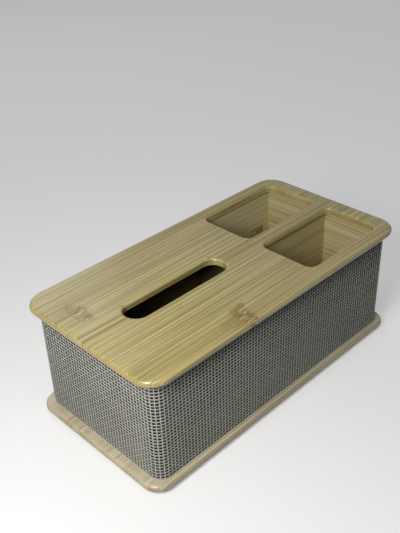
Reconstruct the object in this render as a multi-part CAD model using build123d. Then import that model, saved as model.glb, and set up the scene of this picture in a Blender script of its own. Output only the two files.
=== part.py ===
from build123d import *
import os

# Tissue box organizer: a bamboo case with a woven wrap and a lift-off lid, in millimetres.
# The origin is on the table under the middle of the box. X runs along the length with the two
# pockets at +X, Y runs across with the front at -Y, and Z points up.

# Lid
lid_length = 260.0
lid_width = 132.0
lid_thickness = 5.6
lid_corner_radius = 16.0
lid_edge_round = 2.6
slot_width = 19.4
slot_left_margin = 25.2  # from the left end of the tissue space to the slot
slot_right_margin = 31.1  # from the slot to the right end of the tissue space
slot_edge_round = 2.2
cutout_corner_radius = 6.0
cutout_edge_chamfer = 1.3
cleat_width = 6.0
cleat_height = 7.0

# Base and feet
base_thickness = 5.6
base_inset = 1.0  # how far the base's long edges stand back from the lid's
base_corner_radius = 13.0
base_edge_round = 2.6
base_lower_chamfer = 1.2
foot_diameter = 12.0
foot_height = 2.0
foot_taper = 0.5  # how much smaller a foot's radius is at the table
foot_inset = 20.0  # from the base's edges to a foot's centre

# Case boards
wall_height = 82.2
end_overhang = 6.5  # how far the lid stands out past the woven face
side_overhang = 5.0
end_wall_thickness = 5.5
side_wall_thickness = 4.2
cross_wall_thickness = 4.0
divider_thickness = 9.8
pocket_length = 82.0
tongue_thickness = 1.6
tongue_length = 2.0
dado_depth = 1.0

# Woven wrap
weave_thickness = 1.0
backing_thickness = 0.4
wrap_corner_radius = 10.0

# Screws that hold the base to the end walls
screw_length = 16.0
screw_diameter = 3.0
screw_head_diameter = 5.6
screw_head_height = 1.6
screw_spread = 70.0  # between the two screws of one end wall

# Clearances
lid_gap = 2.0  # the long boards stop this far below the lid, which rests on the end walls
pocket_end_reveal = 0.7  # the boards stand this far behind the edges of the lid's openings
pocket_side_reveal = 1.5
cleat_clearance = 0.5
joint_clearance = 0.05
screw_clearance = 0.1

# Heights
base_bottom = foot_height
base_top = base_bottom + base_thickness
wall_top = base_top + wall_height
board_top = wall_top - lid_gap
lid_top = wall_top + lid_thickness

# Half sizes of the base and the case, from the outside in
base_x = lid_length / 2
base_y = lid_width / 2 - base_inset
wrap_x = lid_length / 2 - end_overhang
wrap_y = lid_width / 2 - side_overhang
wrap_thickness = weave_thickness + backing_thickness
wall_x = wrap_x - wrap_thickness
wall_y = wrap_y - wrap_thickness
wall_corner_radius = wrap_corner_radius - wrap_thickness
inner_x = wall_x - end_wall_thickness
inner_y = wall_y - side_wall_thickness

# Boards that part the tissue space from the pockets
cross_right = inner_x - pocket_length
cross_left = cross_right - cross_wall_thickness
divider_half = divider_thickness / 2

# Openings of the lid over the two pockets
cutout_left = cross_right + pocket_end_reveal
cutout_right = inner_x - pocket_end_reveal
cutout_near = divider_half + pocket_side_reveal
cutout_far = inner_y - pocket_side_reveal


def block(x_min, x_max, y_min, y_max, z_min, z_max):
    size = (x_max - x_min, y_max - y_min, z_max - z_min)
    return Pos(x_min, y_min, z_min) * Box(*size, align=(Align.MIN, Align.MIN, Align.MIN))


def rounded_prism(half_x, half_y, radius, z_min, z_max):
    outline = Pos(0, 0, z_min) * RectangleRounded(2 * half_x, 2 * half_y, radius)
    return extrude(outline, z_max - z_min)


def rim(panel, end):
    # The outer edges of a board's lowest face (end 0) or highest face (end -1).
    return panel.faces().sort_by(Axis.Z)[end].outer_wire().edges()


def edges_around(panel, z, x_center, y_center):
    # The edges of the opening about this centre that lie at height z.
    middle = Vector(x_center, y_center, z)
    face = panel.faces().filter_by(Axis.Z).sort_by(lambda item: abs(item.center().Z - z))[0]
    wires = face.inner_wires().sort_by(lambda wire: (wire.bounding_box().center() - middle).length)
    return wires[0].edges()


def make_lid_panel():
    panel = rounded_prism(lid_length / 2, lid_width / 2, lid_corner_radius, wall_top, lid_top)
    panel = fillet(rim(panel, 0) + rim(panel, -1), lid_edge_round)
    slot_left = -inner_x + slot_left_margin
    slot_right = cross_left - slot_right_margin
    slot_x = (slot_left + slot_right) / 2
    slot = SlotOverall(slot_right - slot_left, slot_width)
    panel -= Pos(slot_x, 0, wall_top) * extrude(slot, lid_thickness)
    cutout_x = (cutout_left + cutout_right) / 2
    cutout_y = (cutout_near + cutout_far) / 2
    cutout = RectangleRounded(cutout_right - cutout_left, cutout_far - cutout_near, cutout_corner_radius)
    for side in (-1, 1):
        panel -= Pos(cutout_x, side * cutout_y, wall_top) * extrude(cutout, lid_thickness)
    for side in (-1, 1):
        panel = chamfer(edges_around(panel, lid_top, cutout_x, side * cutout_y), cutout_edge_chamfer)
    return fillet(edges_around(panel, lid_top, slot_x, 0), slot_edge_round)


def make_lid_cleats():
    # Four strips under the lid that drop inside the tissue space and keep the lid in place.
    z_min = wall_top - cleat_height
    left = -inner_x + cleat_clearance
    right = cross_left - cleat_clearance
    outer = inner_y - cleat_clearance
    inner = outer - cleat_width
    return {
        "lid_cleat_front": block(left, right, -outer, -inner, z_min, wall_top),
        "lid_cleat_back": block(left, right, inner, outer, z_min, wall_top),
        "lid_cleat_left": block(left, left + cleat_width, -inner, inner, z_min, wall_top),
        "lid_cleat_right": block(right - cleat_width, right, -inner, inner, z_min, wall_top),
    }


def screw_places():
    # Two screws in the middle of each end wall's thickness.
    wall_middle = (wall_x + inner_x) / 2
    half = screw_spread / 2
    return [(side * wall_middle, y) for side in (-1, 1) for y in (-half, half)]


def screw_body(growth):
    # A countersunk screw standing on its head, with its head flush in the base's underside.
    # The growth makes the hole that clears the screw.
    radius = screw_diameter / 2 + growth
    head_radius = screw_head_diameter / 2 + growth
    cone_top = base_bottom + screw_head_height
    tip = base_bottom + screw_length + growth
    corners = [(0, base_bottom), (head_radius, base_bottom), (radius, cone_top), (radius, tip), (0, tip)]
    return revolve(Plane.XZ * make_face(Polyline(*corners, close=True)), Axis.Z)


def screw_holes():
    return [Pos(x, y, 0) * screw_body(screw_clearance) for x, y in screw_places()]


def make_base_screws():
    return [Pos(x, y, 0) * screw_body(0) for x, y in screw_places()]


def make_base_panel():
    panel = rounded_prism(base_x, base_y, base_corner_radius, base_bottom, base_top)
    panel = fillet(rim(panel, -1), base_edge_round)
    panel = chamfer(rim(panel, 0), base_lower_chamfer)
    return panel - screw_holes()


def make_end_wall(side):
    # A thick end board with rounded outer edges, and grooves for the tongues of the long boards.
    x_min, x_max = sorted((side * inner_x, side * wall_x))
    outline = rounded_prism(wall_x, wall_y, wall_corner_radius, base_top, wall_top)
    wall = block(x_min, x_max, -wall_y, wall_y, base_top, wall_top) & outline
    groove_end = inner_x + tongue_length + joint_clearance
    groove_x = sorted((side * inner_x, side * groove_end))
    for edge in (-1, 1):
        groove_y = sorted((edge * inner_y, edge * (inner_y + tongue_thickness + joint_clearance)))
        wall -= block(*groove_x, *groove_y, base_top, wall_top)
    return wall


def make_right_wall():
    half = divider_half + joint_clearance
    dado = block(inner_x, inner_x + dado_depth + joint_clearance, -half, half, base_top, wall_top)
    return make_end_wall(1) - dado - screw_holes()


def make_left_wall():
    return make_end_wall(-1) - screw_holes()


def make_side_wall(side):
    # A long thin board with a tongue at each end, and a housing for the cross wall.
    y_range = sorted((side * inner_y, side * wall_y))
    outline = rounded_prism(wall_x, wall_y, wall_corner_radius, base_top, board_top)
    wall = block(-inner_x, inner_x, *y_range, base_top, board_top) & outline
    tongue_y = sorted((side * inner_y, side * (inner_y + tongue_thickness)))
    reach = inner_x + tongue_length
    wall += block(-reach, reach, *tongue_y, base_top, board_top)
    dado_y = sorted((side * inner_y, side * (inner_y + dado_depth + joint_clearance)))
    wall -= block(cross_left - joint_clearance, cross_right + joint_clearance, *dado_y, base_top, board_top)
    return wall


def make_cross_wall():
    half = inner_y + dado_depth
    wall = block(cross_left, cross_right, -half, half, base_top, board_top)
    notch_half = divider_half + joint_clearance
    notch_left = cross_right - dado_depth - joint_clearance
    return wall - block(notch_left, cross_right, -notch_half, notch_half, base_top, board_top)


def make_pocket_divider():
    left = cross_right - dado_depth
    right = inner_x + dado_depth
    return block(left, right, -divider_half, divider_half, base_top, board_top)


def make_wrap(inset, thickness):
    # One closed band of the wrap round the case, as tall as the long boards.
    outer = (wrap_x - inset, wrap_y - inset, wrap_corner_radius - inset)
    inner = [size - thickness for size in outer]
    return rounded_prism(*outer, base_top, board_top) - rounded_prism(*inner, base_top, board_top)


def make_feet():
    radius = foot_diameter / 2
    on_table = (Align.CENTER, Align.CENTER, Align.MIN)
    foot = Cone(radius - foot_taper, radius, foot_height, align=on_table)
    feet = {}
    for y_name, y_side in (("front", -1), ("back", 1)):
        for x_name, x_side in (("left", -1), ("right", 1)):
            x = x_side * (base_x - foot_inset)
            y = y_side * (base_y - foot_inset)
            feet[f"foot_{y_name}_{x_name}"] = Pos(x, y, 0) * foot
    return feet


pieces = {
    "lid_panel": make_lid_panel(),
    "base_panel": make_base_panel(),
    "base_screws": Compound(children=make_base_screws()),
    "wall_left": make_left_wall(),
    "wall_right": make_right_wall(),
    "wall_front": make_side_wall(-1),
    "wall_back": make_side_wall(1),
    "cross_wall": make_cross_wall(),
    "pocket_divider": make_pocket_divider(),
    "wrap_backing": make_wrap(weave_thickness, backing_thickness),
    "woven_wrap": make_wrap(0, weave_thickness),
}
pieces.update(make_lid_cleats())
pieces.update(make_feet())

os.makedirs("parts", exist_ok=True)
for name, piece in pieces.items():
    export_step(piece, os.path.join("parts", name + ".step"))
    print(name, round(piece.volume, 1))
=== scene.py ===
import math

import bmesh
import bpy
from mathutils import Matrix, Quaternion, Vector
from mathutils.geometry import tessellate_polygon


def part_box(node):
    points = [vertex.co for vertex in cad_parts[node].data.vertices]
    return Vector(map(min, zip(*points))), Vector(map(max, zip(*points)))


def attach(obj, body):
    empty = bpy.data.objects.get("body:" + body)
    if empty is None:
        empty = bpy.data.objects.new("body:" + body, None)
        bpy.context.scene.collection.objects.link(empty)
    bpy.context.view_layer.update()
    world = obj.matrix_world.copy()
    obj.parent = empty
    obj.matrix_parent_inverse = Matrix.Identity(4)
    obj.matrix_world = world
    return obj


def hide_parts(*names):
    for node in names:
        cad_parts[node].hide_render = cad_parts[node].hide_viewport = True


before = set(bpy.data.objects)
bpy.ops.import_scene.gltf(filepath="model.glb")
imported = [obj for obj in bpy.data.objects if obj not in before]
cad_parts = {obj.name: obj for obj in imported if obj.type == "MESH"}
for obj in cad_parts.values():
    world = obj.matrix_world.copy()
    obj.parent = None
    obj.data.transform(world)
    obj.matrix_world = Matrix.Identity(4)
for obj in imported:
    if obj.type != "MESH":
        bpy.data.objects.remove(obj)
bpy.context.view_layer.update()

mm = 0.001
scene = bpy.context.scene
scene.view_settings.view_transform = "Standard"
print("frame loaded,", len(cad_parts), "nodes")


# Node helpers

def addNode(tree, kind, feeds=None, **settings):
    node = tree.nodes.new(kind)
    for name, value in settings.items():
        setattr(node, name, value)
    for name, value in (feeds or {}).items():
        socket = node.inputs[name]
        if isinstance(value, bpy.types.NodeSocket):
            tree.links.new(value, socket)
        else:
            socket.default_value = value
    return node


def calc(tree, operation, *values):
    return addNode(tree, "ShaderNodeMath", dict(enumerate(values)), operation=operation).outputs[0]


def vectorCalc(tree, operation, *values):
    outputs = addNode(tree, "ShaderNodeVectorMath", dict(enumerate(values)), operation=operation).outputs
    return outputs["Value" if operation == "DOT_PRODUCT" else "Vector"]


def split(tree, vector):
    return addNode(tree, "ShaderNodeSeparateXYZ", {0: vector}).outputs


def combine(tree, *parts):
    return addNode(tree, "ShaderNodeCombineXYZ", dict(enumerate(parts))).outputs[0]


def stretch(tree, vector, factors):
    return vectorCalc(tree, "MULTIPLY", vector, factors)


def inMillimetres(tree, vector):
    return stretch(tree, vector, (1 / mm, 1 / mm, 1 / mm))


def reorder(tree, vector, axes):
    parts = split(tree, vector)
    return combine(tree, *[parts["xyz".index(axis)] for axis in axes])


def remap(tree, value, low, high, toLow=0.0, toHigh=1.0):
    feeds = {"Value": value, "From Min": low, "From Max": high, "To Min": toLow, "To Max": toHigh}
    return addNode(tree, "ShaderNodeMapRange", feeds, interpolation_type="SMOOTHSTEP").outputs[0]


def noise(tree, vector, detail=2.0, roughness=0.5, scale=1.0):
    feeds = {"Vector": vector, "Scale": scale, "Detail": detail, "Roughness": roughness}
    return addNode(tree, "ShaderNodeTexNoise", feeds).outputs[0]


def mixColor(tree, factor, first, second):
    feeds = {0: factor, 6: first, 7: second}  # the colour sockets of a Mix node
    return addNode(tree, "ShaderNodeMix", feeds, data_type="RGBA").outputs[2]


def bumpNormal(tree, height, strength, depth):
    feeds = {"Height": height, "Strength": strength, "Distance": depth}
    return addNode(tree, "ShaderNodeBump", feeds).outputs[0]


def makeGroup(name, kind, inputs, outputs):
    tree = bpy.data.node_groups.new(name, kind)
    for label, socketType, value in inputs:
        socket = tree.interface.new_socket(label, in_out="INPUT", socket_type=socketType)
        if value is not None:
            socket.default_value = value
    for label, socketType in outputs:
        tree.interface.new_socket(label, in_out="OUTPUT", socket_type=socketType)
    given = tree.nodes.new("NodeGroupInput").outputs
    result = tree.nodes.new("NodeGroupOutput").inputs
    return tree, given, result


def linkResults(tree, result, values):
    for label, value in values.items():
        tree.links.new(value, result[label])


# Shader groups

grainPattern = {
    "caneLength": 900.0,  # millimetres: each strip is cut from its own stretch of cane
    "ground": 0.12,
    "stripShare": 0.12,
    "fibreShare": 0.35,
    # scale along the cane, scale across it, and share of the tone
    "bands": ((0.004, 0.1, 0.2), (0.004, 1.1, 0.45), (0.01, 1.8, 1.1)),
    "lines": ((0.0035, 1.2, 0.4), (0.005, 1.7, 1.2), (0.006, 2.1, 1.1)),
    "patchesPerStrip": 2.4,  # pale and brown patches of the end grain
    "endShare": 0.8,
}


def makeBambooGrain(pattern):
    tree, given, result = makeGroup("bambooGrain", "ShaderNodeTree", [
        ("Vector", "NodeSocketVector", None),
        ("Facing", "NodeSocketVector", None),
        ("Strip Width", "NodeSocketFloat", 19.0),
        ("Strip Shift", "NodeSocketFloat", 0.0),
        ("Bold Line", "NodeSocketFloat", 0.0),
        ("Light Tone", "NodeSocketColor", (0.66, 0.56, 0.30, 1)),
        ("Dark Tone", "NodeSocketColor", (0.35, 0.27, 0.11, 1)),
        ("Line Tone", "NodeSocketColor", (0.20, 0.12, 0.045, 1)),
        ("End Tone", "NodeSocketColor", (0.58, 0.46, 0.22, 1)),
        ("End Dark", "NodeSocketColor", (0.38, 0.25, 0.10, 1)),
        ("Blush Tone", "NodeSocketColor", (0.52, 0.38, 0.16, 1)),
        ("Contrast", "NodeSocketFloat", 1.0),
        ("Sheen Base", "NodeSocketFloat", 0.4),
        ("Seed", "NodeSocketFloat", 0.0),
    ], [
        ("Color", "NodeSocketColor"),
        ("Roughness", "NodeSocketFloat"),
        ("Height", "NodeSocketFloat"),
    ])

    def draw(number):
        feeds = {"W": number}
        return addNode(tree, "ShaderNodeTexWhiteNoise", feeds, noise_dimensions="1D").outputs["Value"]

    def caneNoise(alongScale, acrossScale, detail=0.0):
        return noise(tree, stretch(tree, cane, (alongScale, acrossScale, 0.35 * acrossScale)), detail)

    def addShare(total, value, share):
        centred = calc(tree, "SUBTRACT", value, 0.5)
        return calc(tree, "MULTIPLY_ADD", centred, share, total)

    along, across, through = split(tree, inMillimetres(tree, given["Vector"]))
    stripAt = calc(tree, "DIVIDE", calc(tree, "ADD", across, given["Strip Shift"]), given["Strip Width"])
    stripDraw = draw(calc(tree, "ADD", calc(tree, "FLOOR", stripAt), given["Seed"]))
    ownAlong = calc(tree, "MULTIPLY_ADD", stripDraw, pattern["caneLength"], along)
    cane = combine(tree, ownAlong, across, through)

    # Pale ground, from wide bands down to single fibres, with dense thin darker lines
    fibre = caneNoise(0.06, 3.2, 2.0)
    tone = addShare(pattern["ground"], stripDraw, pattern["stripShare"])
    for alongScale, acrossScale, share in pattern["bands"]:
        tone = addShare(tone, caneNoise(alongScale, acrossScale), share)
    tone = addShare(tone, fibre, pattern["fibreShare"])
    for alongScale, acrossScale, share in pattern["lines"]:
        lines = remap(tree, caneNoise(alongScale, acrossScale), 0.5, 0.66, 0.0, share)
        tone = calc(tree, "ADD", tone, lines)
    tone = calc(tree, "MULTIPLY", tone, given["Contrast"])
    color = mixColor(tree, tone, given["Light Tone"], given["Dark Tone"])
    blush = remap(tree, caneNoise(0.012, 0.05, 2.0), 0.5, 0.75, 0.0, 0.45)
    color = mixColor(tree, blush, color, given["Blush Tone"])

    # Long thin dark lines that fade in and out, and short ticks
    ridge = calc(tree, "ABSOLUTE", calc(tree, "SUBTRACT", caneNoise(0.0025, 0.85), 0.5))
    fade = remap(tree, caneNoise(0.009, 0.4), 0.48, 0.65, 0.0, 0.6)
    line = calc(tree, "MULTIPLY", remap(tree, ridge, 0.13, 0.03), fade)
    tick = remap(tree, caneNoise(0.1, 1.0, 1.0), 0.67, 0.78, 0.0, 0.5)
    line = calc(tree, "MULTIPLY", calc(tree, "MAXIMUM", line, tick), given["Contrast"])
    color = mixColor(tree, line, color, given["Line Tone"])

    # Glue lines between the strips, one of them bold
    fraction = calc(tree, "FRACT", stripAt)
    toSeam = calc(tree, "MINIMUM", fraction, calc(tree, "SUBTRACT", 1.0, fraction))
    seamGap = calc(tree, "MULTIPLY", toSeam, given["Strip Width"])
    seamId = calc(tree, "ADD", calc(tree, "ROUND", stripAt), calc(tree, "ADD", given["Seed"], 0.5))
    seamDepth = remap(tree, draw(seamId), 0.2, 0.9, 0.1, 0.6)
    seam = calc(tree, "MULTIPLY", remap(tree, seamGap, 0.4, 0.1), seamDepth)
    boldGap = calc(tree, "ABSOLUTE", calc(tree, "SUBTRACT", across, given["Bold Line"]))
    seam = calc(tree, "MAXIMUM", seam, remap(tree, boldGap, 0.75, 0.3))
    color = mixColor(tree, seam, color, given["Line Tone"])

    # End grain: pale in some places, brown in others
    facingAlong = split(tree, given["Facing"])[0]
    endFace = remap(tree, calc(tree, "ABSOLUTE", facingAlong), 0.45, 0.9)
    dots = noise(tree, stretch(tree, cane, (0.05, 0.8, 1.2)), 3.0, 0.65)
    patchAt = calc(tree, "MULTIPLY_ADD", stripAt, pattern["patchesPerStrip"], given["Seed"])
    patchDraw = draw(calc(tree, "ADD", calc(tree, "FLOOR", patchAt), 0.37))
    brown = remap(tree, patchDraw, 0.4, 0.8, 0.05, 0.85)
    brown = calc(tree, "MULTIPLY", brown, remap(tree, dots, 0.4, 0.66, 0.5, 1.0))
    endColor = mixColor(tree, brown, given["End Tone"], given["End Dark"])
    color = mixColor(tree, calc(tree, "MULTIPLY", endFace, pattern["endShare"]), color, endColor)

    rough = addShare(given["Sheen Base"], fibre, 0.2)
    rough = calc(tree, "MULTIPLY_ADD", endFace, 0.1, rough)
    height = calc(tree, "SUBTRACT", calc(tree, "MULTIPLY", fibre, 0.6), calc(tree, "MULTIPLY", line, 0.5))
    height = calc(tree, "SUBTRACT", height, seam)
    linkResults(tree, result, {"Color": color, "Roughness": rough, "Height": height})
    return tree


def makeCaneKnuckle():
    tree, given, result = makeGroup("caneKnuckle", "ShaderNodeTree", [
        ("Vector", "NodeSocketVector", None),
        ("Center", "NodeSocketVector", (0, 0, 0)),
        ("Length", "NodeSocketFloat", 8.0),
        ("Width", "NodeSocketFloat", 18.0),
        ("Depth", "NodeSocketFloat", 7.0),
        ("Ring", "NodeSocketFloat", 0.0),
    ], [
        ("Dark", "NodeSocketFloat"),
        ("Pale", "NodeSocketFloat"),
        ("Halo", "NodeSocketFloat"),
    ])

    def patchNoise(factors, detail):
        return noise(tree, stretch(tree, place, factors), detail)

    place = inMillimetres(tree, given["Vector"])
    along, across, through = split(tree, vectorCalc(tree, "SUBTRACT", place, given["Center"]))
    x = calc(tree, "DIVIDE", along, calc(tree, "MULTIPLY", given["Length"], 0.5))
    y = calc(tree, "DIVIDE", across, calc(tree, "MULTIPLY", given["Width"], 0.5))
    ySquared = calc(tree, "MULTIPLY", y, y)
    distance = calc(tree, "MULTIPLY_ADD", x, x, ySquared)
    ragged = calc(tree, "SUBTRACT", patchNoise((0.22, 0.35, 0.35), 2.0), 0.5)
    reach = calc(tree, "MULTIPLY_ADD", ragged, 3.0, distance)
    within = calc(tree, "LESS_THAN", calc(tree, "ABSOLUTE", through), given["Depth"])

    # A dark patch with darker strokes and pale flecks
    core = calc(tree, "MULTIPLY", remap(tree, reach, 1.6, 0.4), within)
    patches = remap(tree, patchNoise((0.14, 0.3, 0.3), 1.0), 0.38, 0.64, 0.4, 0.8)
    dashes = patchNoise((0.15, 1.7, 0.6), 0.0)
    strokes = remap(tree, dashes, 0.52, 0.63)
    dark = calc(tree, "MULTIPLY", core, calc(tree, "MAXIMUM", patches, strokes))
    flecks = calc(tree, "MULTIPLY", remap(tree, dashes, 0.41, 0.3, 0.0, 0.8), remap(tree, reach, 1.0, 0.3))
    pale = calc(tree, "MULTIPLY", flecks, within)

    # A small knot shows as a ring instead
    fromRing = calc(tree, "SUBTRACT", calc(tree, "SQRT", distance), 0.45)
    rim = remap(tree, calc(tree, "ABSOLUTE", fromRing), 0.6, 0.1, 0.0, 0.45)
    ring = calc(tree, "MULTIPLY", calc(tree, "MULTIPLY", rim, given["Ring"]), within)
    spread = calc(tree, "SUBTRACT", 1.0, given["Ring"])
    dark = calc(tree, "MULTIPLY_ADD", dark, spread, ring)
    pale = calc(tree, "MULTIPLY", pale, spread)

    # Darker lines fan out along the cane, further on one side
    wide = calc(tree, "MULTIPLY", calc(tree, "ADD", x, 1.2), 0.36)
    haloReach = calc(tree, "MULTIPLY_ADD", wide, wide, ySquared)
    lines = remap(tree, patchNoise((0.06, 0.8, 0.8), 1.0), 0.4, 0.6, 0.15, 0.8)
    fan = calc(tree, "MULTIPLY", remap(tree, haloReach, 1.3, 0.1), lines)
    halo = calc(tree, "MULTIPLY", fan, within)
    linkResults(tree, result, {"Dark": dark, "Pale": pale, "Halo": halo})
    return tree


def makeYarnFibre():
    tree, given, result = makeGroup("yarnFibre", "ShaderNodeTree", [
        ("Along", "NodeSocketFloat", 0.0),
        ("Around", "NodeSocketFloat", 0.0),
        ("Draw", "NodeSocketFloat", 0.0),
        ("Light Tone", "NodeSocketColor", (0.5, 0.47, 0.39, 1)),
        ("Dark Tone", "NodeSocketColor", (0.3, 0.28, 0.22, 1)),
        ("Twist", "NodeSocketFloat", 500.0),
    ], [
        ("Color", "NodeSocketColor"),
        ("Roughness", "NodeSocketFloat"),
        ("Height", "NodeSocketFloat"),
    ])
    twoPlies = calc(tree, "MULTIPLY", given["Around"], 2.0)
    turn = calc(tree, "MULTIPLY_ADD", given["Along"], given["Twist"], twoPlies)
    ply = calc(tree, "SINE", calc(tree, "MULTIPLY", turn, 2 * math.pi))
    spot = combine(
        tree,
        calc(tree, "MULTIPLY", given["Along"], 1 / mm),
        calc(tree, "MULTIPLY", given["Around"], 6.0),
        calc(tree, "MULTIPLY", given["Draw"], 300.0))
    fuzz = noise(tree, stretch(tree, spot, (1.2, 2.0, 1.0)), 3.0, 0.65)
    slub = noise(tree, stretch(tree, spot, (0.09, 0.0, 1.0)), 2.0)
    shade = calc(tree, "MULTIPLY", given["Draw"], 0.15)
    shade = calc(tree, "MULTIPLY_ADD", remap(tree, slub, 0.3, 0.7), 0.35, shade)
    shade = calc(tree, "MULTIPLY_ADD", remap(tree, fuzz, 0.35, 0.7), 0.3, shade)
    color = mixColor(tree, calc(tree, "MULTIPLY", shade, 0.8), given["Light Tone"], given["Dark Tone"])
    rough = calc(tree, "MULTIPLY_ADD", fuzz, 0.2, 0.72)
    height = calc(tree, "MULTIPLY_ADD", ply, 0.35, fuzz)
    linkResults(tree, result, {"Color": color, "Roughness": rough, "Height": height})
    return tree


def makeInsideMask():
    tree, given, result = makeGroup("insideMask", "ShaderNodeTree", [
        ("Vector", "NodeSocketVector", None),
        ("Low", "NodeSocketVector", (0, 0, 0)),
        ("High", "NodeSocketVector", (1, 1, 1)),
    ], [("Mask", "NodeSocketFloat")])
    mask = 1.0
    for place, low, high in zip(*[split(tree, given[label]) for label in ("Vector", "Low", "High")]):
        mask = calc(tree, "MULTIPLY", mask, calc(tree, "GREATER_THAN", place, low))
        mask = calc(tree, "MULTIPLY", mask, calc(tree, "LESS_THAN", place, high))
    linkResults(tree, result, {"Mask": mask})
    return tree


bambooGrain = makeBambooGrain(grainPattern)
caneKnuckle = makeCaneKnuckle()
yarnFibre = makeYarnFibre()
insideMask = makeInsideMask()


# Materials

def newMaterial(name):
    material = bpy.data.materials.new(name)
    material.use_nodes = True
    material.node_tree.nodes.clear()
    return material, material.node_tree


def finishMaterial(tree, feeds):
    shader = addNode(tree, "ShaderNodeBsdfPrincipled", feeds)
    addNode(tree, "ShaderNodeOutputMaterial", {"Surface": shader.outputs[0]})


bambooLooks = {
    "lidBamboo": {
        "axes": "xyz",  # along the grain, across the strips, through the board
        "stripShift": 1.5,  # lengths in the looks are millimetres
        "boldLine": -2.5,
        "lightTone": (0.68, 0.585, 0.27, 1),
        "darkTone": (0.36, 0.285, 0.085, 1),
        "lineTone": (0.25, 0.17, 0.04, 1),
        # end grain's own tone, also darkened as painted shade on the lid's rounded ends
        "endTone": (0.50, 0.42, 0.18, 1),
        "contrast": 1.0,
        "roughness": 0.36,
        "coat": 0.9,
        "seed": 3.0,
        "paintedShadeInside": False,
        "knuckles": [  # centre, length, width, and 1 for a small round knot
            ((-110.7, 25, 92), 11, 24, 0),
            ((-39.5, -57, 92), 11, 19, 0),
            ((-33, -48, 92), 7, 7, 1),
        ],
    },
    "baseBamboo": {
        "axes": "xyz",
        "stripShift": 7.0,
        "boldLine": 31.0,
        "lightTone": (0.70, 0.63, 0.45, 1),
        "darkTone": (0.50, 0.43, 0.27, 1),
        "lineTone": (0.33, 0.25, 0.13, 1),
        "endTone": (0.62, 0.54, 0.39, 1),
        "contrast": 0.6,
        "roughness": 0.38,
        "coat": 0.6,
        "seed": 21.0,
        "paintedShadeInside": True,
        "knuckles": [((66, 12, 5), 9, 22, 0), ((-72, -28, 5), 9, 22, 0)],
    },
    "sideBamboo": {
        "axes": "xzy",
        "stripShift": 4.0,
        "boldLine": 30.0,
        "lightTone": (0.69, 0.65, 0.38, 1),
        "darkTone": (0.43, 0.38, 0.19, 1),
        "lineTone": (0.24, 0.16, 0.06, 1),
        "endTone": (0.58, 0.46, 0.24, 1),
        "contrast": 0.3,
        "roughness": 0.5,
        "coat": 0.0,
        "seed": 40.0,
        "paintedShadeInside": True,
        "knuckles": [((105, 56, 55.5), 8, 8, 0)],
    },
    # painted shade: a darker, browner copy of the side boards' bamboo, for the shade on the divider's face
    # under the lid
    "dividerPaintedShadeBamboo": {
        "axes": "xzy",
        "stripShift": 14.0,
        "boldLine": 20.0,
        "lightTone": (0.65, 0.58, 0.315, 1),
        "darkTone": (0.44, 0.36, 0.17, 1),
        "lineTone": (0.22, 0.14, 0.05, 1),
        "endTone": (0.58, 0.46, 0.24, 1),
        "contrast": 0.42,
        "roughness": 0.5,
        "coat": 0.0,
        "seed": 52.0,
        "paintedShadeInside": True,
        "knuckles": [],
    },
    "endBamboo": {
        "axes": "yzx",
        "stripShift": 11.0,
        "boldLine": 52.0,
        "lightTone": (0.63, 0.55, 0.305, 1),
        "darkTone": (0.39, 0.30, 0.13, 1),
        "lineTone": (0.26, 0.16, 0.065, 1),
        "endTone": (0.58, 0.46, 0.24, 1),
        "contrast": 0.55,
        "roughness": 0.45,
        "coat": 0.0,
        "seed": 63.0,
        "paintedShadeInside": True,
        "knuckles": [],
    },
}
bambooFinish = {
    "stripWidth": 19.0,
    "bumpStrength": 0.25,
    "bumpDepth": 0.08 * mm,
    "specular": 0.25,
    "coatRoughness": 0.22,
}
knuckleTones = {
    "Halo": (0.29, 0.21, 0.05, 1),
    "Dark": (0.18, 0.11, 0.0, 1),
    "Pale": (0.88, 0.76, 0.42, 1),
}
tissueSpaceShade = {  # painted shade: inside the tissue space the boards' colour is darkened, where the closed box lies in shade
    "tone": (0.15, 0.113, 0.045, 1),
    "share": 0.9,
    "lowSkin": (0.5 * mm, 1.0 * mm, 0.5 * mm),  # how far the painted shade reaches into the boards
    "highSkin": (0.5 * mm, 1.0 * mm, 1.0 * mm),
}


def tissueSpaceCorners(values):
    low = Vector((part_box("wall_left")[1].x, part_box("wall_front")[1].y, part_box("base_panel")[1].z))
    high = Vector((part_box("cross_wall")[0].x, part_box("wall_back")[0].y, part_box("cross_wall")[1].z))
    return low - Vector(values["lowSkin"]), high + Vector(values["highSkin"])


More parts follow.
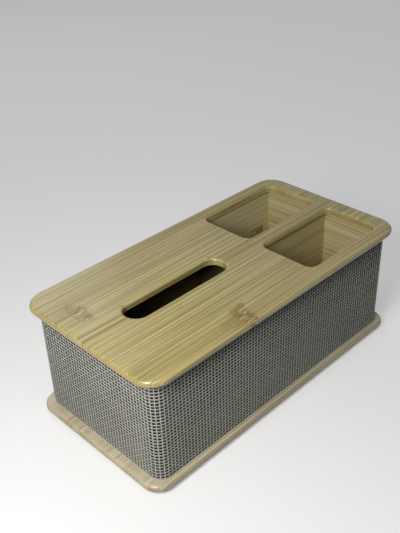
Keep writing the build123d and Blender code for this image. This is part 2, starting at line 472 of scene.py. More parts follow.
def makeBambooMaterial(name, look):
    material, tree = newMaterial(name)
    coordinates = addNode(tree, "ShaderNodeTexCoord").outputs
    spot = reorder(tree, coordinates["Object"], look["axes"])
    grain = addNode(tree, "ShaderNodeGroup", {
        "Vector": spot,
        "Facing": reorder(tree, coordinates["Normal"], look["axes"]),
        "Strip Width": bambooFinish["stripWidth"],
        "Strip Shift": look["stripShift"],
        "Bold Line": look["boldLine"],
        "Light Tone": look["lightTone"],
        "Dark Tone": look["darkTone"],
        "Line Tone": look["lineTone"],
        "End Tone": look["endTone"],
        "Contrast": look["contrast"],
        "Sheen Base": look["roughness"],
        "Seed": look["seed"],
    }, node_tree=bambooGrain).outputs
    color = grain["Color"]
    # painted shade: boards darken inside the tissue space, standing for the shade in the closed box
    if look["paintedShadeInside"]:
        low, high = tissueSpaceCorners(tissueSpaceShade)
        feeds = {"Vector": coordinates["Object"], "Low": low, "High": high}
        inside = addNode(tree, "ShaderNodeGroup", feeds, node_tree=insideMask).outputs[0]
        share = calc(tree, "MULTIPLY", inside, tissueSpaceShade["share"])
        color = mixColor(tree, share, color, tissueSpaceShade["tone"])
    for center, length, width, ring in look["knuckles"]:
        middle = [center["xyz".index(axis)] for axis in look["axes"]]
        feeds = {"Vector": spot, "Center": middle, "Length": length, "Width": width, "Ring": ring}
        knuckle = addNode(tree, "ShaderNodeGroup", feeds, node_tree=caneKnuckle)
        for part, tone in knuckleTones.items():
            color = mixColor(tree, knuckle.outputs[part], color, tone)
    bump = bumpNormal(tree, grain["Height"], bambooFinish["bumpStrength"], bambooFinish["bumpDepth"])
    finishMaterial(tree, {
        "Base Color": color,
        "Roughness": grain["Roughness"],
        "Normal": bump,
        "Specular IOR Level": bambooFinish["specular"],
        "Coat Weight": look["coat"],
        "Coat Roughness": bambooFinish["coatRoughness"],
    })
    return material


yarnLooks = {
    "warpYarn": {"light": (0.62, 0.625, 0.54, 1), "dark": (0.46, 0.46, 0.39, 1), "twist": 420.0},
    "weftYarn": {"light": (0.60, 0.605, 0.54, 1), "dark": (0.44, 0.44, 0.375, 1), "twist": 380.0},
}
yarnFinish = {
    "bumpStrength": 0.5,
    "bumpDepth": 0.1 * mm,
    "sheen": 0.05,
    "sheenRoughness": 0.5,
}


def makeYarnMaterial(name, look):
    material, tree = newMaterial(name)
    feeds = {"Light Tone": look["light"], "Dark Tone": look["dark"], "Twist": look["twist"]}
    for label in ("Along", "Around", "Draw"):
        attribute = addNode(tree, "ShaderNodeAttribute", attribute_name="strand" + label)
        feeds[label] = attribute.outputs["Fac"]
    fibre = addNode(tree, "ShaderNodeGroup", feeds, node_tree=yarnFibre).outputs
    finishMaterial(tree, {
        "Base Color": fibre["Color"],
        "Roughness": fibre["Roughness"],
        "Normal": bumpNormal(tree, fibre["Height"], yarnFinish["bumpStrength"], yarnFinish["bumpDepth"]),
        "Sheen Weight": yarnFinish["sheen"],
        "Sheen Roughness": yarnFinish["sheenRoughness"],
    })
    return material


plainLooks = {
    "backingFelt": {
        "tones": ((0.004, 0.004, 0.004, 1), (0.022, 0.021, 0.02, 1)),
        "grain": (4.0, 0.7, 900.0),  # detail, roughness and scale of its noise
        "dustScale": 0.0,
        "roughness": (0.85, 1.0),
        "bump": (0.6, 0.15 * mm),  # strength and depth
        "metallic": 0.0,
    },
    "footRubber": {
        "tones": ((0.02, 0.02, 0.02, 1), (0.09, 0.085, 0.08, 1)),
        "grain": (3.0, 0.6, 1600.0),
        "dustScale": 220.0,
        "roughness": (0.6, 0.85),
        "bump": (0.3, 0.05 * mm),
        "metallic": 0.0,
    },
    "screwZinc": {
        "tones": ((0.62, 0.62, 0.6, 1), (0.4, 0.41, 0.42, 1)),
        "grain": (3.0, 0.6, 700.0),
        "dustScale": 0.0,
        "roughness": (0.25, 0.45),
        "bump": None,
        "metallic": 1.0,
    },
}


def makePlainMaterial(name, look):
    material, tree = newMaterial(name)
    spot = addNode(tree, "ShaderNodeTexCoord").outputs["Object"]
    grain = noise(tree, spot, *look["grain"])
    mask = grain
    if look["dustScale"]:
        dust = noise(tree, spot, scale=look["dustScale"])
        mask = remap(tree, dust, 0.45, 0.75, 0.0, 0.5)
    feeds = {
        "Base Color": mixColor(tree, mask, *look["tones"]),
        "Roughness": remap(tree, grain, 0.2, 0.8, *look["roughness"]),
        "Metallic": look["metallic"],
    }
    if look["bump"]:
        feeds["Normal"] = bumpNormal(tree, grain, *look["bump"])
    finishMaterial(tree, feeds)
    return material


materials = {}
for makeMaterial, looks in (
        (makeBambooMaterial, bambooLooks), (makeYarnMaterial, yarnLooks), (makePlainMaterial, plainLooks)):
    materials.update({name: makeMaterial(name, look) for name, look in looks.items()})
print("materials made:", ", ".join(materials))


# Mesh helpers

cornerSteps = 12  # segments in a quarter turn of an outline's corner


def evaluatedMesh(holder):
    graph = bpy.context.evaluated_depsgraph_get()
    return bpy.data.meshes.new_from_object(
        holder.evaluated_get(graph), preserve_all_data_layers=True, depsgraph=graph)


def addObject(name, data):
    item = bpy.data.objects.new(name, data)
    scene.collection.objects.link(item)
    return item


def addPiece(name, mesh, material):
    mesh.materials.clear()
    mesh.materials.append(materials[material])
    return addObject(name, mesh)


def bakeModifiers(piece):
    mesh = evaluatedMesh(piece)
    piece.modifiers.clear()
    piece.data = mesh


def smoothFaces(piece, creaseAngle):
    for face in piece.data.polygons:
        face.use_smooth = True
    piece.data.set_sharp_from_angle(angle=math.radians(creaseAngle))
    weighted = piece.modifiers.new("evenNormals", "WEIGHTED_NORMAL")
    weighted.keep_sharp = True
    bakeModifiers(piece)


def settle(piece, body, slotName, *nodes):
    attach(piece, body)
    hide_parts(*nodes)


def roundedRing(center, halfX, halfY, radius, z):
    ring = []
    for quarter, (sideX, sideY) in enumerate(((1, 1), (-1, 1), (-1, -1), (1, -1))):
        for step in range(cornerSteps + 1):
            angle = math.radians(90 * (quarter + step / cornerSteps))
            x = center[0] + sideX * (halfX - radius) + radius * math.cos(angle)
            y = center[1] + sideY * (halfY - radius) + radius * math.sin(angle)
            point = Vector((x, y, z))
            if all((point - known).length > 1e-7 for known in ring[-1:] + ring[:1]):
                ring.append(point)
    return ring


def turnedRings(bm, profile, segments):
    angles = [2 * math.pi * step / segments for step in range(segments)]
    return [[bm.verts.new((radius * math.cos(angle), radius * math.sin(angle), z)) for angle in angles]
            for radius, z in profile]


def joinRings(bm, rings):
    for first, second in zip(rings, rings[1:]):
        for k in range(len(first)):
            after = (k + 1) % len(first)
            bm.faces.new((first[k], second[k], second[after], first[after]))


def fillLoops(bm, loops):  # a flat face with holes
    flat = [vert for loop in loops for vert in loop]
    for corners in tessellate_polygon([[vert.co for vert in loop] for loop in loops]):
        bm.faces.new([flat[corner] for corner in corners])


def plainMesh(bm, name):
    mesh = bpy.data.meshes.new(name)
    bm.to_mesh(mesh)
    bm.free()
    return mesh


def closedMesh(bm, name):
    bmesh.ops.recalc_face_normals(bm, faces=bm.faces)
    return plainMesh(bm, name)


def quarterAngles(steps):
    return [math.pi / 2 * step / steps for step in range(steps + 1)]


def roundDown(radius, top, steps):  # from a board's top face over its edge
    return [(radius * (1 - math.sin(a)), top - radius * (1 - math.cos(a))) for a in quarterAngles(steps)]


def roundUnder(radius, bottom, steps):  # from its edge to its underside
    return [(radius * (1 - math.cos(a)), bottom + radius * (1 - math.sin(a))) for a in quarterAngles(steps)]


def boardMesh(name, outlines):
    # The first outline is the board's own and shrinks by its profile's insets. The holes grow.
    bm = bmesh.new()
    tops, bottoms = [], []
    for number, (center, halfX, halfY, radius, profile) in enumerate(outlines):
        sign = -1 if number == 0 else 1
        rings = []
        for inset, z in profile:
            grow = sign * inset
            points = roundedRing(center, halfX + grow, halfY + grow, radius + grow, z)
            rings.append([bm.verts.new(point) for point in points])
        joinRings(bm, rings)
        tops.append(rings[0])
        bottoms.append(rings[-1])
    fillLoops(bm, tops)
    fillLoops(bm, bottoms)
    return closedMesh(bm, name)


# Lid board

lidPanel = {
    "cornerRadius": 16.0 * mm,
    "edgeRound": 2.6 * mm,
    "slotWidth": 19.4 * mm,
    "slotLeftMargin": 25.2 * mm,  # from the ends of the tissue space
    "slotRightMargin": 31.1 * mm,
    "slotRound": 2.2 * mm,
    "slotUnder": 0.2 * mm,
    "cutoutRadius": 6.0 * mm,
    "cutoutRound": 2.2 * mm,
    "cutoutUnder": 0.2 * mm,
    "endReveal": 0.7 * mm,  # the pocket boards stand back this far
    "sideReveal": 1.5 * mm,
    "edgeSteps": (8, 8),  # segments in the upper and lower rounds
    "slotSteps": (7, 3),
    "cutoutSteps": (7, 2),
    "creaseAngle": 35,
}


def buildLidPanel(values):
    low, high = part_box("lid_panel")

    def edgeProfile(upper, lower, steps):
        return roundDown(upper, high.z, steps[0]) + roundUnder(lower, low.z, steps[1])

    profile = edgeProfile(values["edgeRound"], values["edgeRound"], values["edgeSteps"])
    outlines = [((0, 0), high.x, high.y, values["cornerRadius"], profile)]

    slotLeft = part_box("wall_left")[1].x + values["slotLeftMargin"]
    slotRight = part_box("cross_wall")[0].x - values["slotRightMargin"]
    half = values["slotWidth"] / 2
    profile = edgeProfile(values["slotRound"], values["slotUnder"], values["slotSteps"])
    outlines.append((((slotLeft + slotRight) / 2, 0), (slotRight - slotLeft) / 2, half, half, profile))

    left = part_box("cross_wall")[1].x + values["endReveal"]
    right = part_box("wall_right")[0].x - values["endReveal"]
    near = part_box("pocket_divider")[1].y + values["sideReveal"]
    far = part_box("wall_back")[0].y - values["sideReveal"]
    profile = edgeProfile(values["cutoutRound"], values["cutoutUnder"], values["cutoutSteps"])
    for side in (-1, 1):
        center = ((left + right) / 2, side * (near + far) / 2)
        outlines.append((center, (right - left) / 2, (far - near) / 2, values["cutoutRadius"], profile))

    piece = addPiece("lidBoard", boardMesh("lidBoard", outlines), "lidBamboo")
    smoothFaces(piece, values["creaseAngle"])
    settle(piece, "lid", "bamboo_lid", "lid_panel")


buildLidPanel(lidPanel)
print("lid board built")


# Base board, with countersunk screw holes

basePanel = {
    "cornerRadius": 13.0 * mm,
    "edgeRound": 2.6 * mm,
    "lowerChamfer": 1.2 * mm,
    "screwSpread": 70.0 * mm,
    "holeRadius": 1.6 * mm,
    "sinkRadius": 2.9 * mm,
    "sinkDepth": 1.6 * mm,
    "edgeSteps": 8,
    "creaseAngle": 35,
}


def screwPlaces(values):
    half = values["screwSpread"] / 2
    places = []
    for wall in ("wall_left", "wall_right"):
        low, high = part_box(wall)
        places += [((low.x + high.x) / 2, y) for y in (-half, half)]
    return places


def buildBasePanel(values):
    low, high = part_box("base_panel")
    chamfer = values["lowerChamfer"]
    profile = roundDown(values["edgeRound"], high.z, values["edgeSteps"])
    profile += [(0, low.z + chamfer), (chamfer, low.z)]
    outlines = [((0, 0), high.x, high.y, values["cornerRadius"], profile)]
    hole = values["holeRadius"]
    profile = [(0, high.z), (0, low.z + values["sinkDepth"]), (values["sinkRadius"] - hole, low.z)]
    outlines += [(place, hole, hole, hole, profile) for place in screwPlaces(values)]
    piece = addPiece("baseBoard", boardMesh("baseBoard", outlines), "baseBamboo")
    smoothFaces(piece, values["creaseAngle"])
    settle(piece, "case", "bamboo_base", "base_panel")


buildBasePanel(basePanel)
print("base board built")


# Case boards and lid cleats, with their edges eased

easedBoards = {
    "width": 0.35 * mm,
    "segments": 2,
    "creaseAngle": 50,
    "pieces": {
        "wall_left": ("endWallLeft", "case", "bamboo_board", "endBamboo"),
        "wall_right": ("endWallRight", "case", "bamboo_board", "endBamboo"),
        "wall_front": ("sideWallFront", "case", "bamboo_board", "sideBamboo"),
        "wall_back": ("sideWallBack", "case", "bamboo_board", "sideBamboo"),
        "cross_wall": ("crossWall", "case", "bamboo_board", "endBamboo"),
        "pocket_divider": ("pocketDivider", "case", "bamboo_board", "dividerPaintedShadeBamboo"),
        "lid_cleat_front": ("cleatFront", "lid", "bamboo_cleat", "sideBamboo"),
        "lid_cleat_back": ("cleatBack", "lid", "bamboo_cleat", "sideBamboo"),
        "lid_cleat_left": ("cleatLeft", "lid", "bamboo_cleat", "endBamboo"),
        "lid_cleat_right": ("cleatRight", "lid", "bamboo_cleat", "endBamboo"),
    },
}


def buildEasedBoard(values, node):
    name, body, slotName, material = values["pieces"][node]
    bm = bmesh.new()
    bm.from_mesh(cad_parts[node].data)
    bmesh.ops.remove_doubles(bm, verts=bm.verts, dist=1e-6)
    bmesh.ops.dissolve_limit(bm, angle_limit=math.radians(1), verts=bm.verts, edges=bm.edges)
    piece = addPiece(name, plainMesh(bm, name), material)
    bevel = piece.modifiers.new("easedEdges", "BEVEL")
    bevel.width = values["width"]
    bevel.segments = values["segments"]
    bevel.limit_method = "ANGLE"
    bevel.angle_limit = math.radians(values["creaseAngle"])
    bakeModifiers(piece)
    smoothFaces(piece, values["creaseAngle"])
    settle(piece, body, slotName, node)


for boardNode in easedBoards["pieces"]:
    buildEasedBoard(easedBoards, boardNode)
print("case boards and cleats built")


# Woven wrap: flat yarn in a plain weave round the case

def makeStrandTree():
    tree, given, result = makeGroup("weaveStrands", "GeometryNodeTree", [
        ("Geometry", "NodeSocketGeometry", None),
        ("Strands", "NodeSocketInt", 10),
        ("Crossings", "NodeSocketInt", 10),
        ("Runs Round", "NodeSocketBool", False),
        ("Strand Width", "NodeSocketFloat", 1.4 * mm),
        ("Strand Thickness", "NodeSocketFloat", 0.45 * mm),
        ("Strand Sides", "NodeSocketInt", 6),
        ("Half Length", "NodeSocketFloat", 0.12),
        ("Half Width", "NodeSocketFloat", 0.06),
        ("Corner Radius", "NodeSocketFloat", 8.5 * mm),
        ("Corner Points", "NodeSocketInt", 10),
        ("Bottom", "NodeSocketFloat", 8.0 * mm),
        ("Height", "NodeSocketFloat", 80.5 * mm),
        ("Wander", "NodeSocketFloat", 0.15 * mm),
        ("Slub", "NodeSocketFloat", 0.25),
        ("Seed", "NodeSocketInt", 1),
        ("Material", "NodeSocketMaterial", None),
    ], [("Geometry", "NodeSocketGeometry")])

    def geo(kind, feeds=None, **settings):
        return addNode(tree, "GeometryNode" + kind, feeds, **settings).outputs[0]

    def pick(whenUp, whenRound):
        feeds = {"Switch": given["Runs Round"], "False": whenUp, "True": whenRound}
        return geo("Switch", feeds, input_type="FLOAT")

    def scaled(vector, amount):
        feeds = {"Vector": vector, "Scale": amount}
        return addNode(tree, "ShaderNodeVectorMath", feeds, operation="SCALE").outputs[0]

    def keepNumber(geometry, name, value):
        feeds = {"Geometry": geometry, "Name": name, "Value": value}
        return geo("StoreNamedAttribute", feeds, data_type="FLOAT", domain="POINT")

    def trackNoise(factors, detail):
        return calc(tree, "SUBTRACT", noise(tree, stretch(tree, track, factors), detail), 0.5)

    def half(value):
        return calc(tree, "MULTIPLY", value, 0.5)

    def twice(value):
        return calc(tree, "MULTIPLY", value, 2.0)

    # One strand has two points at each crossing, where it lies flat over or under the other yarn.
    pointsEach = twice(given["Crossings"])
    line = geo("MeshLine", {"Count": pointsEach, "Offset": (0, 0, mm)})
    starts = geo("MeshLine", {"Count": given["Strands"], "Offset": (mm, 0, 0)})
    copies = geo("InstanceOnPoints", {"Points": starts, "Instance": geo("MeshToCurve", {"Mesh": line})})
    strands = geo("RealizeInstances", {"Geometry": copies})

    index = geo("InputIndex")
    number = calc(tree, "FLOOR", calc(tree, "DIVIDE", calc(tree, "ADD", index, 0.5), pointsEach))
    step = calc(tree, "SUBTRACT", index, calc(tree, "MULTIPLY", number, pointsEach))
    crossing = calc(tree, "FLOOR", calc(tree, "MULTIPLY_ADD", step, 0.5, 0.25))
    second = calc(tree, "SUBTRACT", step, twice(crossing))
    along = calc(tree, "ADD", crossing, calc(tree, "MULTIPLY_ADD", second, 0.5, 0.25))
    across = calc(tree, "ADD", number, 0.5)

    # Warp strands are columns and weft strands are rows. The first and last rows lie on the cloth's edges.
    column = pick(across, along)
    columns = pick(given["Strands"], given["Crossings"])
    row = pick(along, across)
    rows = pick(given["Crossings"], given["Strands"])
    roundShare = calc(tree, "DIVIDE", column, columns)
    upShare = calc(tree, "DIVIDE", calc(tree, "SUBTRACT", row, 0.25), calc(tree, "SUBTRACT", rows, 0.5))

    outline = geo("CurvePrimitiveQuadrilateral", {
        "Width": twice(given["Half Length"]), "Height": twice(given["Half Width"])})
    path = geo("FilletCurve", {
        "Curve": outline, "Count": given["Corner Points"], "Radius": given["Corner Radius"]}, mode="POLY")
    feeds = {"Curves": path, "Factor": roundShare}
    sample = addNode(tree, "GeometryNodeSampleCurve", feeds, mode="FACTOR").outputs
    where, tangent = sample["Position"], sample["Tangent"]
    sideways = vectorCalc(tree, "CROSS_PRODUCT", tangent, (0, 0, 1))
    facing = vectorCalc(tree, "DOT_PRODUCT", sideways, where)
    outward = scaled(sideways, calc(tree, "SIGN", facing))

    over = calc(tree, "MODULO", calc(tree, "ADD", calc(tree, "ADD", number, crossing), pick(0.0, 1.0)), 2.0)
    lift = calc(tree, "MULTIPLY", calc(tree, "MULTIPLY_ADD", over, -1.0, 0.5), given["Strand Thickness"])
    seedShift = calc(tree, "MULTIPLY", given["Seed"], 31.7)
    track = combine(tree, calc(tree, "MULTIPLY_ADD", number, 3.7, seedShift), along)
    widestSway = calc(tree, "MULTIPLY", given["Wander"], 4.0)
    sway = calc(tree, "MULTIPLY", trackNoise((1.0, 0.16, 1.0), 2.0), widestSway)

    height = calc(tree, "MULTIPLY_ADD", upShare, given["Height"], given["Bottom"])
    position = vectorCalc(tree, "ADD", where, scaled(outward, lift))
    position = vectorCalc(tree, "ADD", position, scaled(tangent, pick(sway, 0.0)))
    rise = combine(tree, 0.0, 0.0, calc(tree, "ADD", height, pick(0.0, sway)))
    position = vectorCalc(tree, "ADD", position, rise)

    placed = geo("SetPosition", {"Geometry": strands, "Position": position})
    closed = geo("SetSplineCyclic", {"Geometry": placed, "Cyclic": given["Runs Round"]})
    kept = geo("SetCurveNormal", {"Curve": closed, "Normal": outward}, mode="FREE")
    lengthAlong = addNode(tree, "GeometryNodeSplineParameter").outputs["Length"]
    kept = keepNumber(kept, "strandAlong", lengthAlong)
    feeds = {"ID": number, "Seed": given["Seed"]}
    strandDraw = addNode(tree, "FunctionNodeRandomValue", feeds, data_type="FLOAT").outputs[1]
    kept = keepNumber(kept, "strandDraw", strandDraw)

    circle = geo("CurvePrimitiveCircle", {"Resolution": given["Strand Sides"], "Radius": 1.0})
    around = geo("SplineParameter")
    circle = keepNumber(circle, "strandAround", around)
    halfSizes = combine(tree, half(given["Strand Thickness"]), half(given["Strand Width"]), 1.0)
    profile = geo("Transform", {"Geometry": circle, "Scale": halfSizes})
    # The yarn swells and thins, and some patches of the cloth are more open than others.
    swell = calc(tree, "MULTIPLY_ADD", trackNoise((1.0, 0.3, 1.0), 2.0), given["Slub"], 1.0)
    swell = calc(tree, "MULTIPLY_ADD", trackNoise((0.09, 0.07, 1.0), 1.0), given["Slub"], swell)
    yarn = geo("CurveToMesh", {"Curve": kept, "Profile Curve": profile, "Scale": swell, "Fill Caps": True})
    whole = geo("RealizeInstances", {"Geometry": geo("SetShadeSmooth", {"Geometry": yarn})})
    dressed = geo("SetMaterial", {"Geometry": whole, "Material": given["Material"]})
    linkResults(tree, result, {"Geometry": dressed})
    return tree


def growPiece(name, tree, values, points=((0, 0, 0),)):
    start = bpy.data.meshes.new(name + "Start")
    start.from_pydata(points, [], [])
    holder = addObject(name + "Start", start)
    modifier = holder.modifiers.new("grow", "NODES")
    modifier.node_group = tree
    sockets = {item.name: item.identifier for item in tree.interface.items_tree if item.in_out == "INPUT"}
    for label, value in values.items():
        modifier[sockets[label]] = value
    mesh = evaluatedMesh(holder)
    mesh.name = name
    bpy.data.objects.remove(holder)
    return addObject(name, mesh)


wovenWrap = {
    "columns": 244,  # even, so that the weave closes round the case
    "rows": 31,
    "warpWidth": 0.88 * mm,
    "weftWidth": 1.04 * mm,
    "strandThickness": 0.26 * mm,
    "cornerRadius": 10.0 * mm,
    "wander": 0.09 * mm,
    "slub": 0.4,
    "warpSeed": 5,
    "weftSeed": 11,
}


def buildWovenWrap(values):
    low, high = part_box("woven_wrap")
    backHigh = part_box("wrap_backing")[1]
    halfDepth = (high.x - backHigh.x) / 2  # the yarn waves about the middle of the cloth
    tree = makeStrandTree()
    shared = {
        "Half Length": high.x - halfDepth,
        "Half Width": high.y - halfDepth,
        "Corner Radius": values["cornerRadius"] - halfDepth,
        "Bottom": low.z,
        "Height": high.z - low.z,
        "Strand Thickness": values["strandThickness"],
        "Wander": values["wander"],
        "Slub": values["slub"],
    }
    warp = growPiece("weaveWarp", tree, dict(shared, **{
        "Strands": values["columns"], "Crossings": values["rows"], "Runs Round": False,
        "Strand Width": values["warpWidth"], "Seed": values["warpSeed"], "Material": materials["warpYarn"]}))
    weft = growPiece("weaveWeft", tree, dict(shared, **{
        "Strands": values["rows"], "Crossings": values["columns"], "Runs Round": True,
        "Strand Width": values["weftWidth"], "Seed": values["weftSeed"], "Material": materials["weftYarn"]}))
    settle(warp, "case", "woven_wrap", "woven_wrap")
    settle(weft, "case", "woven_wrap")
    for piece in (warp, weft):
        print(piece.name, len(piece.data.polygons), "faces")
    return [warp, weft]


weavePieces = buildWovenWrap(wovenWrap)


# Black cloth behind the weave

wrapBacking = {
    "cornerRadius": 9.0 * mm,
    "edgeRound": 0.1 * mm,
    "creaseAngle": 60,
}


def buildWrapBacking(values):
    low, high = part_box("wrap_backing")
    thickness = high.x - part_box("wall_right")[1].x
    radius = values["cornerRadius"]
    edge = values["edgeRound"]
    outside = [(edge, high.z), (0, high.z - edge), (0, low.z + edge), (edge, low.z)]
    inside = [(thickness - inset, z) for inset, z in reversed(outside)]
    bm = bmesh.new()
    rings = []
    for inset, z in outside + inside:
        points = roundedRing((0, 0), high.x - inset, high.y - inset, radius - inset, z)
        rings.append([bm.verts.new(point) for point in points])
    joinRings(bm, rings + rings[:1])
    piece = addPiece("wrapBacking", closedMesh(bm, "wrapBacking"), "backingFelt")
    smoothFaces(piece, values["creaseAngle"])
    settle(piece, "case", "wrap_backing", "wrap_backing")


buildWrapBacking(wrapBacking)
print("woven wrap and backing built")


# Rubber feet and base screws, each modelled once and set on its places

def makeScatterTree():
    tree, given, result = makeGroup("setOnPlaces", "GeometryNodeTree", [
        ("Geometry", "NodeSocketGeometry", None),
        ("Part", "NodeSocketObject", None),
        ("Material", "NodeSocketMaterial", None),
    ], [("Geometry", "NodeSocketGeometry")])
    part = addNode(tree, "GeometryNodeObjectInfo", {"Object": given["Part"]}).outputs["Geometry"]
    feeds = {"Points": given["Geometry"], "Instance": part}
    copies = addNode(tree, "GeometryNodeInstanceOnPoints", feeds).outputs[0]
    whole = addNode(tree, "GeometryNodeRealizeInstances", {"Geometry": copies}).outputs[0]
    feeds = {"Geometry": whole, "Material": given["Material"]}
    linkResults(tree, result, {"Geometry": addNode(tree, "GeometryNodeSetMaterial", feeds).outputs[0]})
    return tree


scatterTree = makeScatterTree()


def setOnPlaces(name, part, places, material):
    piece = growPiece(name, scatterTree, {"Part": part, "Material": materials[material]}, places)
    bpy.data.objects.remove(part)
    return piece


rubberFeet = {
    "nodes": ("foot_front_left", "foot_front_right", "foot_back_left", "foot_back_right"),
    "taper": 0.5 * mm,
    "edgeRound": 0.7 * mm,
    "edgeSteps": 5,
    "dishDepth": 0.25 * mm,  # the pad's underside is hollow in the middle
    "dishShare": 0.7,
    "dishProfile": ((0.5, 1.0), (0.85, 0.9), (1.0, 0.4)),  # shares of the dish's radius and depth
    "segments": 40,
    "creaseAngle": 50,
}


def buildFeet(values):
    boxes = [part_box(node) for node in values["nodes"]]
    places = [((low.x + high.x) / 2, (low.y + high.y) / 2, low.z) for low, high in boxes]
    low, high = boxes[-1]
    radius = (high.x - low.x) / 2
    lower = radius - values["taper"]
    edge = values["edgeRound"]
    dish = values["dishShare"] * lower
    profile = [(dish * out, values["dishDepth"] * deep) for out, deep in values["dishProfile"]]
    profile.append((dish + edge / 2, 0))
    for angle in quarterAngles(values["edgeSteps"]):
        profile.append((lower - edge + edge * math.sin(angle), edge * (1 - math.cos(angle))))
    profile.append((radius, high.z - low.z))
    bm = bmesh.new()
    rings = turnedRings(bm, profile, values["segments"])
    joinRings(bm, rings)
    bm.faces.new(rings[0])
    bm.faces.new(rings[-1])
    part = addPiece("footPart", closedMesh(bm, "footPart"), "footRubber")
    smoothFaces(part, values["creaseAngle"])
    piece = setOnPlaces("rubberFeet", part, places, "footRubber")
    settle(piece, "case", "foot_rubber", *values["nodes"])


buildFeet(rubberFeet)


baseScrews = {
    "radius": 1.5 * mm,
    "headRadius": 2.8 * mm,
    "headHeight": 1.6 * mm,
    "headRim": 0.24 * mm,
    "tipLength": 2.5 * mm,
    "tipRadius": 0.225 * mm,
    "recessReach": 1.7 * mm,
    "recessHalf": 0.38 * mm,
    "recessDepth": 1.1 * mm,
    "recessTaper": 0.7,
    "segments": 32,
    "creaseAngle": 40,
}


def buildScrews(values):
    low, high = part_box("base_screws")
    length = high.z - low.z
    headRadius, radius = values["headRadius"], values["radius"]
    bm = bmesh.new()
    rings = turnedRings(bm, [
        (headRadius, 0), (headRadius, values["headRim"]), (radius, values["headHeight"]),
        (radius, length - values["tipLength"]), (values["tipRadius"], length)], values["segments"])
    joinRings(bm, rings)
    reach, half = values["recessReach"], values["recessHalf"]
    cross = []
    for quarter in range(4):
        turn = Quaternion((0, 0, 1), quarter * math.pi / 2)
        cross += [turn @ Vector(point) for point in ((reach, -half, 0), (reach, half, 0), (half, half, 0))]
    mouth = [bm.verts.new(point) for point in cross]
    taper, depth = values["recessTaper"], values["recessDepth"]
    floor = [bm.verts.new((point.x * taper, point.y * taper, depth)) for point in cross]
    joinRings(bm, [mouth, floor])
    fillLoops(bm, [rings[0], mouth])
    bm.faces.new(floor)
    bm.faces.new(rings[-1])
    part = addPiece("screwPart", closedMesh(bm, "screwPart"), "screwZinc")
    smoothFaces(part, values["creaseAngle"])
    places = [(x, y, low.z) for x, y in screwPlaces(basePanel)]
    piece = setOnPlaces("baseScrews", part, places, "screwZinc")
    settle(piece, "case", "screw_steel", "base_screws")


buildScrews(baseScrews)
print("feet and screws built")


# Floor, light and camera

studio = {
    "floorHalf": 9.0,
    "floorColor": (0.28, 0.28, 0.275, 1),
    "floorSeen": (0.66, 0.66, 0.655, 1),
    "floorGlow": 0.55,  # lifts the floor to a pale tone where it is seen, without lighting the box
    "floorRoughness": 0.7,
    "skyLight": (0.93, 0.95, 1.0, 1),
    "skyStrength": 0.075,
    "fillFrom": (0.72, 0.69, 0.0),  # the sky is brighter on this side, behind the box
    "fillRange": (0.3, 0.9),
    "fillStrength": 0.6,
    "skySeen": (0.45, 0.45, 0.45, 1),
    "lamps": {
        # place, aim, size, power, colour
        "keyLamp": ((-0.365, -0.135, 0.36), (0, 0, 0.06), 0.20, 1.75, (1.0, 0.995, 0.985)),
        "topLamp": ((-0.22, -0.10, 0.85), (0, 0, 0.06), 0.32, 0.45, (1.0, 0.95, 0.88)),
        "backLamp": ((0.30, 0.95, 0.74), (-0.1, 0, 0.09), 0.5, 0.65, (0.80, 0.90, 1.0)),
    },
}


def seenDirectly(tree):
    rays = addNode(tree, "ShaderNodeLightPath").outputs
    showing = calc(tree, "MAXIMUM", rays["Is Camera Ray"], rays["Is Glossy Ray"])
    return calc(tree, "MAXIMUM", showing, rays["Is Transmission Ray"])


def aimed(place, aim):
    return (Vector(aim) - Vector(place)).to_track_quat("-Z", "Y")


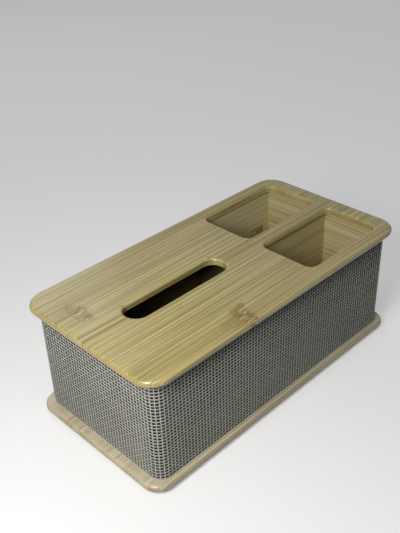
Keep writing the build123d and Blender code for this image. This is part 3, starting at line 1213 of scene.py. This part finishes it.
def buildFloor(values):
    half = values["floorHalf"]
    corners = [(x * half, y * half, 0) for x, y in ((-1, -1), (1, -1), (1, 1), (-1, 1))]
    mesh = bpy.data.meshes.new("studioFloor")
    mesh.from_pydata(corners, [], [(0, 1, 2, 3)])
    material, tree = newMaterial("floorPaint")
    seen = seenDirectly(tree)
    finishMaterial(tree, {
        "Base Color": mixColor(tree, seen, values["floorColor"], values["floorSeen"]),
        "Roughness": values["floorRoughness"],
        "Specular IOR Level": 0.0,
        "Emission Color": values["floorSeen"],
        "Emission Strength": calc(tree, "MULTIPLY", seen, values["floorGlow"]),
    })
    mesh.materials.append(material)
    floor = addObject("studioFloor", mesh)


def buildLamps(values):
    for name, (place, aim, size, power, color) in values["lamps"].items():
        lamp = bpy.data.lights.new(name, "AREA")
        lamp.shape = "DISK"
        lamp.size = size
        lamp.energy = power
        lamp.color = color
        holder = addObject(name, lamp)
        holder.location = place
        holder.rotation_euler = aimed(place, aim).to_euler()


def buildSky(values):
    world = bpy.data.worlds.new("studioSky")
    world.use_nodes = True
    tree = world.node_tree
    tree.nodes.clear()
    direction = addNode(tree, "ShaderNodeTexCoord").outputs["Generated"]
    behind = vectorCalc(tree, "DOT_PRODUCT", direction, values["fillFrom"])
    strength = remap(tree, behind, *values["fillRange"], values["skyStrength"], values["fillStrength"])
    light = addNode(tree, "ShaderNodeBackground", {"Color": values["skyLight"], "Strength": strength})
    seen = addNode(tree, "ShaderNodeBackground", {"Color": values["skySeen"], "Strength": 1.0})
    feeds = {0: seenDirectly(tree), 1: light.outputs[0], 2: seen.outputs[0]}
    both = addNode(tree, "ShaderNodeMixShader", feeds)
    addNode(tree, "ShaderNodeOutputWorld", {"Surface": both.outputs[0]})
    scene.world = world


photoView = {
    "place": (-0.3344, -0.3234, 0.3863),
    "aim": (0.0327, 0.0574, 0.0500),
    "roll": -2.06,  # degrees
    "lens": 51.1,
    "sensorWidth": 36.0,
    "clipStart": 0.01,
}


def buildCamera(values):
    camera = bpy.data.cameras.new("photoView")
    camera.lens = values["lens"]
    camera.sensor_width = values["sensorWidth"]
    camera.clip_start = values["clipStart"]
    holder = addObject("photoView", camera)
    holder.location = values["place"]
    holder.rotation_mode = "QUATERNION"
    roll = Quaternion((0, 0, 1), math.radians(values["roll"]))
    holder.rotation_quaternion = aimed(values["place"], values["aim"]) @ roll
    scene.camera = holder


buildFloor(studio)
buildLamps(studio)
buildSky(studio)
buildCamera(photoView)
print("studio built")
